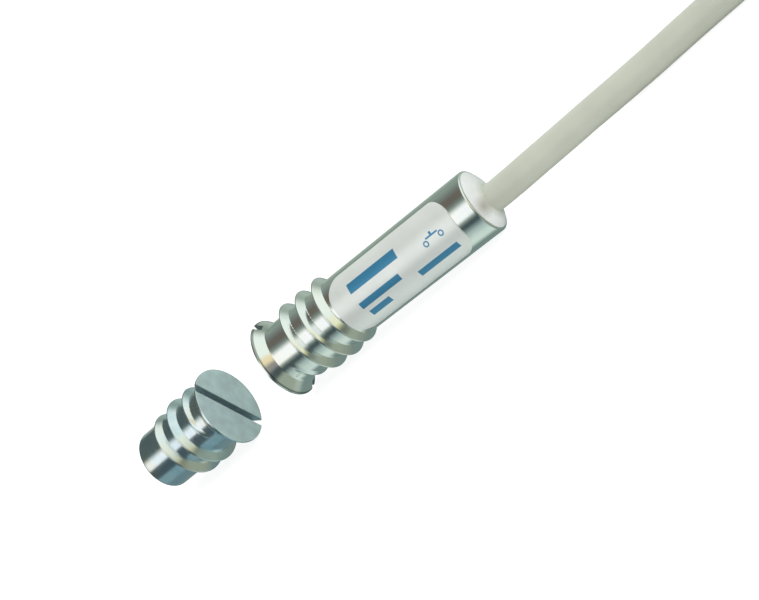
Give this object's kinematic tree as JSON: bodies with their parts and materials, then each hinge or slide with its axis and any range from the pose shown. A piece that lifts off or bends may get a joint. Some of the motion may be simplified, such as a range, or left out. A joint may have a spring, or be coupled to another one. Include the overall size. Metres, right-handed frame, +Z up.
{
  "type": "magnetic contact",
  "caption": "Magnetic door and window contact: a threaded, slotted metal reed switch housing on a stored cable, and its threaded magnet housing lying face to face.",
  "frame": {"origin": "on the surface, at the bottom centre of the two metal pieces' box, without the cable", "axes": "+X along the switch towards its cable, +Z up, +Y away from the side that the picture shows"},
  "size_m": [0.1813, 0.0395, 0.0203],
  "materials": {
    "switch_zinc": "bright clear zinc plate with a faint straw and blue bloom",
    "magnet_zinc": "bluish zinc plate, bright on the thread and satin on the face",
    "reed_glass": "clear greenish glass",
    "reed_metal": "bare nickel iron",
    "copper": "bare copper",
    "solder": "bright solder",
    "carrier_plastic": "moulded insulator",
    "resin": "milky cast resin with a wet gloss",
    "label_film": "silvery white film with plain blue bars and a contact symbol",
    "cable_jacket": "ivory jacket with a soft sheen",
    "core_white_jacket": "white insulation",
    "core_brown_jacket": "brown insulation",
    "core_green_jacket": "green insulation",
    "core_yellow_jacket": "yellow insulation",
    "tinned_copper": "tinned strands",
    "tie_nylon": "natural nylon",
    "magnet_metal": "sintered magnet, satin"
  },
  "bodies": {
    "root": {"switch_housing": "switch_zinc", "carrier": "carrier_plastic", "reed_capsule": "reed_glass", "front_reed": "reed_metal", "rear_reed": "reed_metal", "return_wire": "copper", "core_white": "core_white_jacket", "core_brown": "core_brown_jacket", "core_green": "core_green_jacket", "core_yellow": "core_yellow_jacket", "conductor_ends": "copper", "solder_joints": "solder", "potting_resin": "resin", "label": "label_film", "cable": "cable_jacket", "cable_hank": "cable_jacket", "cable_tie": "tie_nylon", "cable_tail": "cable_jacket", "tail_white": "core_white_jacket", "tail_brown": "core_brown_jacket", "tail_green": "core_green_jacket", "tail_yellow": "core_yellow_jacket", "tail_tips": "tinned_copper", "magnet_housing": "magnet_zinc", "magnet": "magnet_metal", "magnet_plug": "resin"}
  },
  "joints": []
}
